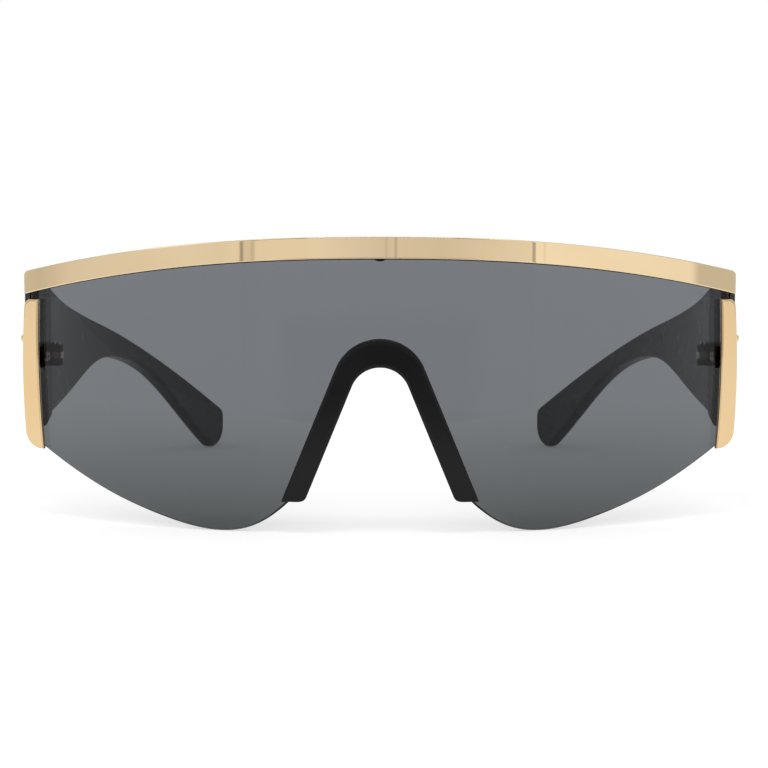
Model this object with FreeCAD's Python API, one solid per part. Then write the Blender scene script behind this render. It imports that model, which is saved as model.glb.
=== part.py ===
import FreeCAD, Part
import math
import os

# Shield sunglasses, open and standing on a table: the two lens lobes and the two temple tips touch it.
# Millimetres. X runs across the front, Y from the front back to the ear tips, Z up from the table.
# Depths are counted from the middle of the lens front. The finished pieces are then shifted so that
# the origin lies on the table under the middle of the whole object.

# Lens
LENS_RADIUS = 112.0  # front face, about an upright axis
LENS_THICKNESS = 2.0
LENS_HALF_WIDTH = 71.7
LENS_BELOW_BAR_TOP = 0.7
LENS_END_HEIGHT = 16.3  # lower corner at each end
LOBE_X = 31.2  # lowest point of each lobe
LOBE_INNER = (23.6, 1.7)  # lower edge between lobe and nose, as X and height
LOBE_OUTER = ((43.2, 2.25), (55.8, 7.1))  # lower edge between lobe and end
NOSE_CORNER = (16.8, 6.95)  # where the lower edge runs out into the nose cut

# Brow bar
BAR_TOP = 57.6  # at the middle
BAR_HEIGHT = 4.2  # at the middle
BAR_THICKNESS = 1.55
BAR_TOP_DROP = 7.5  # fall of the top edge from the middle to an end
BAR_BOTTOM_DROP = 7.9  # fall of the bottom edge
BAR_ARCH_POWER = 2.33  # of the two arched edges, which are flattest in the middle
BAR_PAST_LENS = 0.95
BAR_CORNER_RADIUS = 1.2

# Frame: a top rail behind the lens, with a post at each end
RAIL_THICKNESS = 3.4
RAIL_BELOW_BAR_TOP = 0.9
RAIL_BELOW_BAR_BOTTOM = 0.25
RAIL_LUG_RADIUS = 2.1
POST_PAST_LENS = 1.2
POST_ABOVE_LENS_END = 0.1  # lowest corner of a post, over the lower corner of the lens end
POST_RISE = 1.9  # of the lower end of a post, from its outer to its inner face

# Temples and the butt joint where they meet the posts
BUTT_GAP = 0.1
BUTT_BELOW_BAR_TOP = 10.6
BUTT_HEIGHT = 27.0
TEMPLE_LENGTH = 116.5  # behind the butt
TEMPLE_INNER_RADIUS = 264.7
TEMPLE_TIP_THICKNESS = 2.5
SHOULDER_LENGTH = 24.0  # front stretch of the top edge, which curves up to the butt
SHOULDER_RISE = 1.0  # of the butt over the line of the top edge
TEMPLE_TOP_SLOPE = 11.9  # degrees
TEMPLE_TOP_STRAIGHT = 47.0  # length of the straight part of the top edge
NECK_BEHIND_BUTT = 51.5
NECK_HEIGHT = 7.1  # of the temple at its neck
ARM_BEHIND_BUTT = 75.0
ARM_HEIGHT = 4.8  # of the temple there, where its lower edge turns down to the tip
TEMPLE_FLARE_SLOPE = 4.0  # degrees, lower edge at the butt
TEMPLE_ARM_SLOPE = 37.0  # degrees, lower edge at the tip
TIP_HEIGHT = 9.2  # top edge over the table, at the tip
TIP_RADIUS = 5.0
TIP_TOP_RADIUS = 2.5
TEMPLE_EDGE_RADIUS = 1.0

# Core wire inside each temple, parallel to its top edge
CORE_BELOW_TOP = 2.1
CORE_HEIGHT = 2.0
CORE_THICKNESS = 1.2
CORE_FROM_INNER = 1.3
CORE_FROM_TIP = 19.0

# Hinges
HINGE_FROM_LENS_END = 4.5
HINGE_BELOW_BUTT_TOP = 14.6
KNUCKLE_RADIUS = 1.5
KNUCKLE_HEIGHT = 1.45
KNUCKLE_GAP = 0.05
PIN_RADIUS = 0.6
PIN_CLEARANCE = 0.05
PIN_HEAD_RADIUS = 0.85
PIN_HEAD_HEIGHT = 0.5
LEAF_FROM_PIN = 1.1
LEAF_THICKNESS = 0.8
LEAF_SETBACK = 1.45
LEAF_LENGTH = 5.15
LEAF_TO_LENS = 1.03  # gap in front of a leaf
POST_FROM_PIN = 2.0
TEMPLE_FROM_PIN = 1.0

# Rivets that hold the hinge leaves
RIVET_RADIUS = 0.55
RIVET_LENGTH = 2.6
RIVET_HEAD_RADIUS = 0.9
RIVET_HEAD_HEIGHT = 0.4
RIVET_PITCH = 2.4

# Nose bridge
NOSE_TOP = 37.95
NOSE_OUTER_RADIUS = 9.3
NOSE_INNER_TOP = 32.4
NOSE_INNER_RADIUS = 5.85
NOSE_LEG_ANGLE = 22.3  # degrees from upright
NOSE_FOOT = 6.2
NOSE_FOOT_RADIUS = 1.6
NOSE_GROOVE = 1.5
NOSE_PROUD = 1.2
NOSE_REACH = 7.5  # behind the lens
NOSE_BACK_STEP = 0.8  # how much narrower the bridge is behind the lens
NOSE_EDGE_RADIUS = 0.8

# Side trims, each a plate on the front of the lens end
TRIM_THICKNESS = 1.35
TRIM_BELOW_BAR = 1.0  # at the end of the bar
TRIM_PAST_LENS_END = 2.3  # below the lower corner of the lens end
TRIM_WAIST_BELOW_TOP = 11.5  # where the trim is widest
TRIM_INSIDE = (2.4, 2.2, 3.2)  # inner edge at top, waist and bottom, in from the lens end
TRIM_OUTSIDE = (0.95, 1.6, 0.8)  # outer edge at top, waist and bottom, past the lens end
TRIM_TOP_RADIUS = 1.4
TRIM_BOTTOM_RADIUS = 3.2

# Fixings: a boss on the back of the bar or trim, and a screw from behind
BOSS_RADIUS = 1.0
BOSS_SEAT = 0.8  # how far a boss sinks into the frame
SCREW_RADIUS = 0.6
SCREW_BITE = 2.2
SCREW_HEAD_RADIUS = 1.2
SCREW_HEAD_HEIGHT = 0.9
HEAD_RECESS = 0.2
SLOT_WIDTH = 0.35
SLOT_DEPTH = 0.3
BAR_FIXING_X = 46.0
BAR_FIXING_DROP = 0.6  # below the middle of the bar
TRIM_FIXING_INSET = 0.5  # in from the lens end
TRIM_FIXING_LOW = 4.7  # above the lower edge of the butt
TRIM_FIXING_HIGH = 6.0  # below the upper edge of the butt

# Stud on the outside of each temple
STUD_BEHIND_BUTT = 6.5
STUD_BELOW_BUTT_TOP = 11.6
STUD_RADIUS = 4.2
STUD_SUNK = 0.5
STUD_PROUD = 1.4
STUD_RIM_RADIUS = 0.5
STUD_KNOB_RADIUS = 1.0
STUD_KNOB_HEIGHT = 2.1
STUD_SHANK_RADIUS = 1.0
STUD_SHANK_LENGTH = 2.0

# Clearances
SEAT_GAP = 0.05  # between curved faces that lie on each other
FIT_GAP = 0.03  # round pegs, screws and pockets

# Worked out from the sizes above
FAR = 2.0 * LENS_RADIUS
NEAR = LENS_THICKNESS / 40  # how close counts as being at a place
ARCH_STEPS = 4  # spans on each half of an arched edge
KNUCKLES = 3  # on each hinge, two of them on the front leaf
BAR_HALF_LENGTH = LENS_HALF_WIDTH + BAR_PAST_LENS
BAR_BOTTOM = BAR_TOP - BAR_HEIGHT
LENS_BACK_RADIUS = LENS_RADIUS - LENS_THICKNESS
RAIL_FRONT_RADIUS = LENS_BACK_RADIUS - SEAT_GAP
RAIL_BACK_RADIUS = RAIL_FRONT_RADIUS - RAIL_THICKNESS
COVER_BACK_RADIUS = LENS_RADIUS + SEAT_GAP
POST_OUTER = LENS_HALF_WIDTH + POST_PAST_LENS
POST_FOOT = LENS_END_HEIGHT + POST_ABOVE_LENS_END
HINGE_X = LENS_HALF_WIDTH - HINGE_FROM_LENS_END
POST_INNER = HINGE_X + POST_FROM_PIN
TEMPLE_INNER = HINGE_X + TEMPLE_FROM_PIN
LEAF_INNER = HINGE_X + LEAF_FROM_PIN
LEAF_OUTER = LEAF_INNER + LEAF_THICKNESS
LENS_END_BACK = LENS_RADIUS - math.sqrt(LENS_BACK_RADIUS ** 2 - LEAF_OUTER ** 2)
BUTT_DEPTH = LENS_END_BACK + LEAF_TO_LENS + LEAF_LENGTH + LEAF_SETBACK
BUTT_TOP = BAR_TOP - BUTT_BELOW_BAR_TOP
BUTT_BOTTOM = BUTT_TOP - BUTT_HEIGHT
TEMPLE_START = BUTT_DEPTH + BUTT_GAP
TEMPLE_END = BUTT_DEPTH + TEMPLE_LENGTH
HINGE_MIDDLE = BUTT_TOP - HINGE_BELOW_BUTT_TOP
HINGE_BOTTOM = HINGE_MIDDLE - KNUCKLES * KNUCKLE_HEIGHT / 2
HINGE_TOP = HINGE_MIDDLE + KNUCKLES * KNUCKLE_HEIGHT / 2
TRIM_TOP = BAR_BOTTOM - BAR_BOTTOM_DROP - TRIM_BELOW_BAR
TRIM_BOTTOM = LENS_END_HEIGHT - TRIM_PAST_LENS_END
TRIM_FIXING_X = LENS_HALF_WIDTH - TRIM_FIXING_INSET
STUD_DEPTH = BUTT_DEPTH + STUD_BEHIND_BUTT
STUD_HEIGHT = BUTT_TOP - STUD_BELOW_BUTT_TOP
ORIGIN_DEPTH = (TEMPLE_END - SEAT_GAP - BAR_THICKNESS) / 2


def vector(x, y, z):
    return FreeCAD.Vector(x, y, z)


def line(start, end):
    return Part.LineSegment(start, end).toShape()


def arc(start, middle, end):
    return Part.Arc(start, middle, end).toShape()


def spline(points, **tangents):
    curve = Part.BSplineCurve()
    curve.interpolate(Points=points, **tangents)
    return curve.toShape()


def polygon(points):
    return [line(points[i - 1], points[i]) for i in range(len(points))]


def prism(edges, direction):
    return Part.Face(Part.Wire(edges)).extrude(direction)


def front(x, z):
    """A point of an outline seen from the front; such outlines run the whole depth of the lens."""
    return vector(x, -FAR / 4, z)


def front_prism(edges):
    return prism(edges, vector(0, FAR / 2, 0))


def side(depth, z):
    """A point of an outline seen from the side."""
    return vector(0, depth, z)


def side_prism(edges):
    return prism(edges, vector(FAR, 0, 0))


def box(x, y, z):
    """A block from the low and high ends of its three spans."""
    block = Part.makeBox(x[1] - x[0], y[1] - y[0], z[1] - z[0])
    block.translate(vector(x[0], y[0], z[0]))
    return block


def rod(radius, x, z, start, end):
    """A cylinder along Y."""
    return Part.makeCylinder(radius, end - start, vector(x, start, z), vector(0, 1, 0))


def drum(radius):
    """An upright cylinder about the axis of the lens."""
    return Part.makeCylinder(radius, FAR, vector(0, LENS_RADIUS, -FAR / 4))


def shell(inner_radius, outer_radius):
    return drum(outer_radius).cut(drum(inner_radius))


def depth_on(radius, x):
    """Depth, at x, of the front of a drum."""
    return LENS_RADIUS - math.sqrt(radius ** 2 - x ** 2)


def top_height(x):
    """Height of the bar's arched top edge."""
    return BAR_TOP - BAR_TOP_DROP * (abs(x) / BAR_HALF_LENGTH) ** BAR_ARCH_POWER


def bottom_height(x):
    """Height of the bar's arched bottom edge."""
    return BAR_BOTTOM - BAR_BOTTOM_DROP * (abs(x) / BAR_HALF_LENGTH) ** BAR_ARCH_POWER


def arch_points(height, below, half_length):
    """Points from left to right on an edge that runs below one of the bar's arched edges."""
    stations = [half_length * step / ARCH_STEPS for step in range(-ARCH_STEPS, ARCH_STEPS + 1)]
    return [front(x, height(x) - below) for x in stations]


def edges_at(shape, x, z):
    """The edges along Y through one corner of a front prism."""
    found = []
    for edge in shape.Edges:
        middle = edge.CenterOfMass
        if abs(middle.x - x) < NEAR and abs(middle.z - z) < NEAR:
            found.append(edge)
    return found


def brow_prism(below_top, below_bottom, half_length):
    """The arched band of the brow, from below the bar's top edge to below its bottom edge."""
    top = arch_points(top_height, below_top, half_length)
    bottom = arch_points(bottom_height, below_bottom, half_length)[::-1]
    return front_prism([spline(top), line(top[-1], bottom[0]), spline(bottom), line(bottom[-1], top[0])])


def nose_leg_x(radius, top, z):
    """X, at a height, of the straight leg below an arch."""
    spread = math.radians(NOSE_LEG_ANGLE)
    return radius / math.cos(spread) + (top - radius - z) * math.tan(spread)


def nose_prism(radius, top, foot):
    """An arch on two straight legs that spread downwards to the height of the foot."""
    spread = math.radians(NOSE_LEG_ANGLE)
    knee_x = radius * math.cos(spread)
    knee_z = top - radius + radius * math.sin(spread)
    foot_x = nose_leg_x(radius, top, foot)
    return front_prism([
        arc(front(-knee_x, knee_z), front(0, top), front(knee_x, knee_z)),
        line(front(knee_x, knee_z), front(foot_x, foot)),
        line(front(foot_x, foot), front(-foot_x, foot)),
        line(front(-foot_x, foot), front(-knee_x, knee_z)),
    ])


def bar_fixings():
    """X and height of the three fixings of the brow bar."""
    places = []
    for x in (-BAR_FIXING_X, 0.0, BAR_FIXING_X):
        middle = (top_height(x) + bottom_height(x)) / 2
        places.append((x, middle - BAR_FIXING_DROP))
    return places


def trim_fixings():
    """X and height of the two fixings of the right trim."""
    heights = (BUTT_BOTTOM + TRIM_FIXING_LOW, BUTT_TOP - TRIM_FIXING_HIGH)
    return [(TRIM_FIXING_X, height) for height in heights]


def boss_end(x):
    return depth_on(RAIL_FRONT_RADIUS, x) + BOSS_SEAT


def bar_screw_seat(x):
    """Depth of the head's seat, so that the head lies below the curved back of the rail."""
    nearest = max(abs(x) - SCREW_HEAD_RADIUS, 0.0)
    return depth_on(RAIL_BACK_RADIUS, nearest) - SCREW_HEAD_HEIGHT


def trim_screw_seat():
    return BUTT_DEPTH - HEAD_RECESS - SCREW_HEAD_HEIGHT


def boss(x, z, root_radius):
    """A peg along Y, rooted in a cover of that drum radius and tapped from its free end."""
    end = boss_end(x)
    peg = rod(BOSS_RADIUS, x, z, -FAR / 4, end).common(drum(root_radius))
    return peg, rod(SCREW_RADIUS + FIT_GAP, x, z, end - SCREW_BITE, end)


def screw(x, z, seat):
    """A slotted screw that runs forwards from its seat into a boss."""
    tip = boss_end(x) - SCREW_BITE + FIT_GAP
    top = seat + SCREW_HEAD_HEIGHT
    shape = rod(SCREW_RADIUS, x, z, tip, seat).fuse(rod(SCREW_HEAD_RADIUS, x, z, seat, top))
    reach = 2 * SCREW_HEAD_RADIUS
    slot = box((x - reach, x + reach), (top - SLOT_DEPTH, top + SLOT_DEPTH),
               (z - SLOT_WIDTH / 2, z + SLOT_WIDTH / 2))
    return shape.cut(slot).removeSplitter()


def screw_room(x, z, seat):
    """What a boss and its screw take out of the frame."""
    end = boss_end(x)
    room = rod(BOSS_RADIUS + FIT_GAP, x, z, 0, end)
    room = room.fuse(rod(SCREW_RADIUS + FIT_GAP, x, z, end - SCREW_BITE, seat))
    return room.fuse(rod(SCREW_HEAD_RADIUS + FIT_GAP, x, z, seat, seat + SCREW_BITE + SCREW_HEAD_HEIGHT))


def lens_blank():
    """The lens outline before the nose is cut: arched top, upright ends, two lobes below."""
    top = arch_points(top_height, LENS_BELOW_BAR_TOP, LENS_HALF_WIDTH)
    edges = [spline(top)]
    for way in (1, -1):
        level = vector(way, 0, 0)
        end = front(way * LENS_HALF_WIDTH, LENS_END_HEIGHT)
        outer = [front(way * x, z) for x, z in LOBE_OUTER]
        lobe = front(way * LOBE_X, 0)
        inner = front(way * LOBE_INNER[0], LOBE_INNER[1])
        corner = front(way * NOSE_CORNER[0], NOSE_CORNER[1])
        edges.append(line(front(way * LENS_HALF_WIDTH, top[0].z), end))
        edges.append(spline([lobe] + outer + [end], InitialTangent=level))
        edges.append(spline([corner, inner, lobe], FinalTangent=level))
    edges.append(line(front(NOSE_CORNER[0], NOSE_CORNER[1]), front(-NOSE_CORNER[0], NOSE_CORNER[1])))
    return front_prism(Part.sortEdges(edges)[0])


def make_lens():
    shape = lens_blank().common(shell(LENS_BACK_RADIUS, LENS_RADIUS))
    shape = shape.cut(nose_prism(NOSE_OUTER_RADIUS - NOSE_GROOVE, NOSE_TOP - NOSE_GROOVE, -NOSE_FOOT))
    trim_places = [(way * x, z) for x, z in trim_fixings() for way in (1, -1)]
    for x, z in bar_fixings() + trim_places:
        shape = shape.cut(rod(BOSS_RADIUS + FIT_GAP, x, z, -FAR / 4, FAR / 4))
    return shape


def make_bar():
    band = brow_prism(0, 0, BAR_HALF_LENGTH)
    corner = top_height(BAR_HALF_LENGTH)
    corners = edges_at(band, BAR_HALF_LENGTH, corner) + edges_at(band, -BAR_HALF_LENGTH, corner)
    band = band.makeFillet(BAR_CORNER_RADIUS, corners)
    shape = band.common(shell(COVER_BACK_RADIUS, COVER_BACK_RADIUS + BAR_THICKNESS))
    for x, z in bar_fixings():
        peg, hole = boss(x, z, COVER_BACK_RADIUS + BAR_THICKNESS / 2)
        shape = shape.fuse(peg).cut(hole)
    return shape.removeSplitter()


def frame_limits():
    """Side view of what the frame may fill: its top falls from the bar to the lens ends and the butt."""
    lens_end = depth_on(LENS_RADIUS, LENS_HALF_WIDTH)
    rail_end = top_height(POST_OUTER) - RAIL_BELOW_BAR_TOP
    limits = side_prism(polygon([side(-FAR / 8, 0), side(BUTT_DEPTH, 0), side(BUTT_DEPTH, BUTT_TOP),
                                 side(lens_end, rail_end), side(0, BAR_TOP), side(-FAR / 8, BAR_TOP)]))
    limits.translate(vector(-FAR / 2, 0, 0))
    return limits


def post_prism():
    """The right post: its inner face slants from the lens back to the temple. Its lower end rises inwards, and
    from the lens back to the butt."""
    lens_end = depth_on(LENS_RADIUS, POST_OUTER)
    from_side = side_prism(polygon([side(lens_end, POST_FOOT), side(BUTT_DEPTH, BUTT_BOTTOM),
                                    side(BUTT_DEPTH, BAR_TOP), side(0, BAR_TOP), side(0, POST_FOOT)]))
    from_front = front_prism(polygon([front(TEMPLE_INNER, POST_FOOT + POST_RISE), front(POST_OUTER, POST_FOOT),
                                      front(POST_OUTER, BAR_TOP), front(TEMPLE_INNER, BAR_TOP)]))
    start = depth_on(RAIL_FRONT_RADIUS, POST_INNER)
    plan = [vector(POST_INNER, 0, 0), vector(POST_INNER, start, 0), vector(TEMPLE_INNER, BUTT_DEPTH, 0),
            vector(POST_OUTER, BUTT_DEPTH, 0), vector(POST_OUTER, 0, 0)]
    from_above = prism(polygon(plan), vector(0, 0, FAR))
    return from_side.common(from_front).common(from_above)


def make_frame():
    rail = brow_prism(RAIL_BELOW_BAR_TOP, RAIL_BELOW_BAR_BOTTOM, POST_OUTER)
    middle = bar_fixings()[1]
    rail = rail.fuse(rod(RAIL_LUG_RADIUS, middle[0], middle[1], -FAR / 4, FAR / 4))
    shape = rail.common(shell(RAIL_BACK_RADIUS, RAIL_FRONT_RADIUS))
    post = post_prism().common(drum(LENS_RADIUS))
    slot = shell(RAIL_FRONT_RADIUS, LENS_RADIUS + SEAT_GAP)
    reach = LENS_HALF_WIDTH + SEAT_GAP
    slot = slot.common(box((-reach, reach), (-FAR / 4, FAR / 4), (-FAR / 4, FAR)))
    for half in both_sides(post).values():
        shape = shape.fuse(half)
    shape = shape.common(frame_limits()).cut(slot)
    for x, z in bar_fixings():
        shape = shape.cut(screw_room(x, z, bar_screw_seat(x)))
    room = leaf_pocket(BUTT_DEPTH - LEAF_SETBACK - LEAF_LENGTH, BUTT_DEPTH + LEAF_LENGTH)
    for depth in front_rivets():
        room = room.fuse(rivet_hole(depth))
    for x, z in trim_fixings():
        room = room.fuse(screw_room(x, z, trim_screw_seat()))
    for half in both_sides(room).values():
        shape = shape.cut(half)
    return shape.removeSplitter()


def nose_band(step):
    """The inverted U of the bridge, with its outer edge moved in by a step."""
    band = nose_prism(NOSE_OUTER_RADIUS - step, NOSE_TOP - step, NOSE_FOOT)
    band = band.cut(nose_prism(NOSE_INNER_RADIUS, NOSE_INNER_TOP, NOSE_FOOT))
    foot_x = nose_leg_x(NOSE_INNER_RADIUS, NOSE_INNER_TOP, NOSE_FOOT)
    corners = edges_at(band, foot_x, NOSE_FOOT) + edges_at(band, -foot_x, NOSE_FOOT)
    return band.makeFillet(NOSE_FOOT_RADIUS, corners)


def make_nose_bridge():
    """A lip in front of the lens, a web through its nose cut and a saddle behind it."""
    back = LENS_THICKNESS + NOSE_REACH
    lip = nose_band(0).common(shell(COVER_BACK_RADIUS, LENS_RADIUS + NOSE_PROUD))
    saddle = nose_band(NOSE_BACK_STEP).common(box((-FAR, FAR), (-FAR / 4, back), (0, FAR)))
    back_edges = [edge for edge in saddle.Edges if edge.BoundBox.YMin > back - NEAR]
    saddle = saddle.makeFillet(NOSE_EDGE_RADIUS, back_edges).common(drum(LENS_BACK_RADIUS - SEAT_GAP))
    web = nose_band(NOSE_GROOVE + SEAT_GAP).common(shell(LENS_BACK_RADIUS - NOSE_EDGE_RADIUS,
                                                         LENS_RADIUS + NOSE_PROUD / 2))
    return lip.fuse([saddle, web]).removeSplitter()


def make_trim():
    """The right trim: a plate with a curved inner edge, a bulged outer edge and two bosses."""
    heights = (TRIM_TOP, TRIM_TOP - TRIM_WAIST_BELOW_TOP, TRIM_BOTTOM)
    inside = [front(LENS_HALF_WIDTH - inset, z) for inset, z in zip(TRIM_INSIDE, heights)]
    outside = [front(LENS_HALF_WIDTH + past, z) for past, z in zip(TRIM_OUTSIDE, heights)]
    plate = front_prism([arc(*inside), line(inside[2], outside[2]), arc(*outside),
                         line(outside[0], inside[0])])
    plate = plate.makeFillet(TRIM_TOP_RADIUS, edges_at(plate, outside[0].x, TRIM_TOP))
    plate = plate.makeFillet(TRIM_BOTTOM_RADIUS, edges_at(plate, outside[2].x, TRIM_BOTTOM))
    shape = plate.common(shell(COVER_BACK_RADIUS, COVER_BACK_RADIUS + TRIM_THICKNESS))
    for x, z in trim_fixings():
        peg, hole = boss(x, z, COVER_BACK_RADIUS + TRIM_THICKNESS / 2)
        shape = shape.fuse(peg).cut(hole)
    return shape.removeSplitter()


def temple_outer_radius():
    """Radius of the outer face, so that the temple thins from the butt to its tip."""
    length = TEMPLE_END - TEMPLE_START
    inner_drop = TEMPLE_INNER_RADIUS - math.sqrt(TEMPLE_INNER_RADIUS ** 2 - length ** 2)
    drop = inner_drop + POST_OUTER - TEMPLE_INNER - TEMPLE_TIP_THICKNESS
    return (length ** 2 + drop ** 2) / (2 * drop)


def bow(x, radius):
    """An upright cylinder whose wall leaves the butt at x, straight back, and bows inwards."""
    return Part.makeCylinder(radius, FAR, vector(x - radius, TEMPLE_START, -FAR / 4))


def bow_x(x, radius, depth):
    return x - radius + math.sqrt(radius ** 2 - (depth - TEMPLE_START) ** 2)


def top_frame():
    """Where the temple's top edge bends, its directions along and down there, and the bend's radius."""
    slope = math.radians(TEMPLE_TOP_SLOPE)
    along = vector(0, math.cos(slope), -math.sin(slope))
    down = vector(0, -math.sin(slope), -math.cos(slope))
    bend = side(TEMPLE_START, BUTT_TOP - SHOULDER_RISE) + along * TEMPLE_TOP_STRAIGHT
    reach = side(TEMPLE_END, TIP_HEIGHT) - bend
    return bend, along, down, reach.dot(reach) / (2 * reach.dot(down))


def top_edge(below, end):
    """Edges of a line that runs below the temple's top edge: straight, then an arc that drops."""
    bend, along, down, bend_radius = top_frame()
    start = bend + down * below
    start = start - along * ((start.y - TEMPLE_START) / along.y)
    radius = bend_radius - below
    centre = bend + down * bend_radius
    first = math.asin((bend.y - centre.y) / bend_radius)
    last = math.asin((end - centre.y) / radius)
    points = [centre + vector(0, math.sin(turn), math.cos(turn)) * radius
              for turn in (first, (first + last) / 2, last)]
    return [line(start, points[0]), arc(*points)], start, points[2]


def top_at(depth):
    """Height of the temple's top edge at a depth on its bend."""
    bend, along, down, radius = top_frame()
    centre = bend + down * radius
    return centre.z + math.sqrt(radius ** 2 - (depth - centre.y) ** 2)


def shoulder_edges(start):
    """Front edges of the temple's top: an arc that falls from the butt, and the straight line behind it."""
    bend, along, down, bend_radius = top_frame()
    shoulder = start + vector(0, 0, SHOULDER_RISE)
    end = start + along * SHOULDER_LENGTH
    chord = shoulder - end
    radius = -chord.dot(chord) / (2 * chord.dot(down))
    half_turn = math.asin(-chord.dot(along) / radius) / 2
    middle = end - down * (radius * (1 - math.cos(half_turn))) - along * (radius * math.sin(half_turn))
    return [arc(shoulder, middle, end), line(end, bend)], shoulder


def temple_side():
    """Side view of a temple: flared front, slender neck, dropped paddle tip that touches the table."""
    top, start, tip = top_edge(0, TEMPLE_END)
    flare = math.radians(TEMPLE_FLARE_SLOPE)
    fall = math.radians(TEMPLE_ARM_SLOPE)
    butt = side(TEMPLE_START, BUTT_BOTTOM)
    neck = side(BUTT_DEPTH + NECK_BEHIND_BUTT, top_at(BUTT_DEPTH + NECK_BEHIND_BUTT) - NECK_HEIGHT)
    arm = side(BUTT_DEPTH + ARM_BEHIND_BUTT, top_at(BUTT_DEPTH + ARM_BEHIND_BUTT) - ARM_HEIGHT)
    heel = side(TEMPLE_END, TIP_RADIUS)
    toe_centre = side(TEMPLE_END - TIP_RADIUS, TIP_RADIUS)
    toe = toe_centre - vector(0, math.sin(fall), math.cos(fall)) * TIP_RADIUS
    turn = (math.pi / 2 - fall) / 2
    toe_middle = toe_centre + vector(0, math.sin(turn), -math.cos(turn)) * TIP_RADIUS
    lower = spline([toe, arm, neck, butt], InitialTangent=vector(0, -math.cos(fall), math.sin(fall)),
                   FinalTangent=vector(0, -math.cos(flare), -math.sin(flare)))
    front_edges, shoulder = shoulder_edges(start)
    edges = front_edges + [top[1], line(tip, heel), arc(heel, toe_middle, toe), lower, line(butt, shoulder)]
    shape = side_prism(edges)
    tip_edges = [edge for edge in shape.Edges
                 if edge.BoundBox.YMin > TEMPLE_END - NEAR and edge.BoundBox.ZMin > tip.z - NEAR]
    return shape.makeFillet(TIP_TOP_RADIUS, tip_edges)


def long_edges(shape):
    """The edges where the inner or outer face of a temple meets its rim."""
    faces = ((TEMPLE_INNER, TEMPLE_INNER_RADIUS), (POST_OUTER, temple_outer_radius()))
    found = []
    for edge in shape.Edges:
        ends = [vertex.Point for vertex in edge.Vertexes]
        if max(point.y for point in ends) < TEMPLE_START + NEAR:
            continue
        for x, radius in faces:
            if all(abs(bow_x(x, radius, point.y) - point.x) < NEAR for point in ends):
                found.append(edge)
    return found


def core_shape(gap):
    """The core wire of the right temple, or with a gap the room that it lies in."""
    core_end = TEMPLE_END - CORE_FROM_TIP + gap
    upper, start, end = top_edge(CORE_BELOW_TOP - gap, core_end)
    lower, low_start, low_end = top_edge(CORE_BELOW_TOP + CORE_HEIGHT + gap, core_end)
    band = side_prism(upper + [line(end, low_end)] + lower[::-1] + [line(low_start, start)])
    inner = TEMPLE_INNER + CORE_FROM_INNER
    wall = bow(inner + CORE_THICKNESS + gap, TEMPLE_INNER_RADIUS + CORE_FROM_INNER + CORE_THICKNESS + gap)
    wall = wall.cut(bow(inner - gap, TEMPLE_INNER_RADIUS + CORE_FROM_INNER - gap))
    return band.common(wall)


def stud_seat():
    """X of the flat seat of the stud, sunk into the temple's outer face."""
    return bow_x(POST_OUTER, temple_outer_radius(), STUD_DEPTH + STUD_RADIUS) - STUD_SUNK


def stud_rod(radius, start, length):
    return Part.makeCylinder(radius, length, vector(start, STUD_DEPTH, STUD_HEIGHT), vector(1, 0, 0))


def make_stud():
    """A plain round stud: a flat disc with a rounded rim, a small round knob and a shank."""
    seat = stud_seat()
    disc = stud_rod(STUD_RADIUS, seat, STUD_SUNK + STUD_PROUD)
    face = seat + STUD_SUNK + STUD_PROUD
    rim = [edge for edge in disc.Edges if edge.BoundBox.XMin > face - NEAR]
    disc = disc.makeFillet(STUD_RIM_RADIUS, rim)
    crown = face + STUD_KNOB_HEIGHT - STUD_KNOB_RADIUS
    knob = stud_rod(STUD_KNOB_RADIUS, face, crown - face)
    cap = Part.makeSphere(STUD_KNOB_RADIUS, vector(crown, STUD_DEPTH, STUD_HEIGHT))
    shank = stud_rod(STUD_SHANK_RADIUS, seat - STUD_SHANK_LENGTH, STUD_SHANK_LENGTH)
    return disc.fuse([knob, cap, shank]).removeSplitter()


def stud_room():
    seat = stud_seat()
    room = stud_rod(STUD_RADIUS + FIT_GAP, seat, STUD_RADIUS)
    return room.fuse(stud_rod(STUD_SHANK_RADIUS + FIT_GAP, seat - STUD_SHANK_LENGTH - FIT_GAP, STUD_RADIUS))


def make_temple():
    body = bow(POST_OUTER, temple_outer_radius()).cut(bow(TEMPLE_INNER, TEMPLE_INNER_RADIUS))
    shape = temple_side().common(body)
    shape = shape.makeFillet(TEMPLE_EDGE_RADIUS, long_edges(shape))
    shape = shape.cut(leaf_pocket(BUTT_DEPTH - LEAF_LENGTH, BUTT_DEPTH + LEAF_SETBACK + LEAF_LENGTH))
    for depth in temple_rivets():
        shape = shape.cut(rivet_hole(depth))
    return shape.cut(core_shape(FIT_GAP)).cut(stud_room())


def leaf_pocket(start, end):
    """Room for a hinge leaf in the inner face of a post or temple."""
    return box((HINGE_X, LEAF_OUTER + FIT_GAP), (start - FIT_GAP, end + FIT_GAP),
               (HINGE_BOTTOM - FIT_GAP, HINGE_TOP + FIT_GAP))


def upright(radius, low, high):
    """A cylinder on the axis of the right hinge."""
    return Part.makeCylinder(radius, high - low, vector(HINGE_X, BUTT_DEPTH, low))


def knuckle(index, start, end):
    """One of the three knuckles, counted from below, with its root between two depths."""
    low = HINGE_BOTTOM + index * KNUCKLE_HEIGHT + KNUCKLE_GAP / 2
    high = low + KNUCKLE_HEIGHT - KNUCKLE_GAP
    return upright(KNUCKLE_RADIUS, low, high).fuse(box((HINGE_X, LEAF_OUTER), (start, end), (low, high)))


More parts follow.
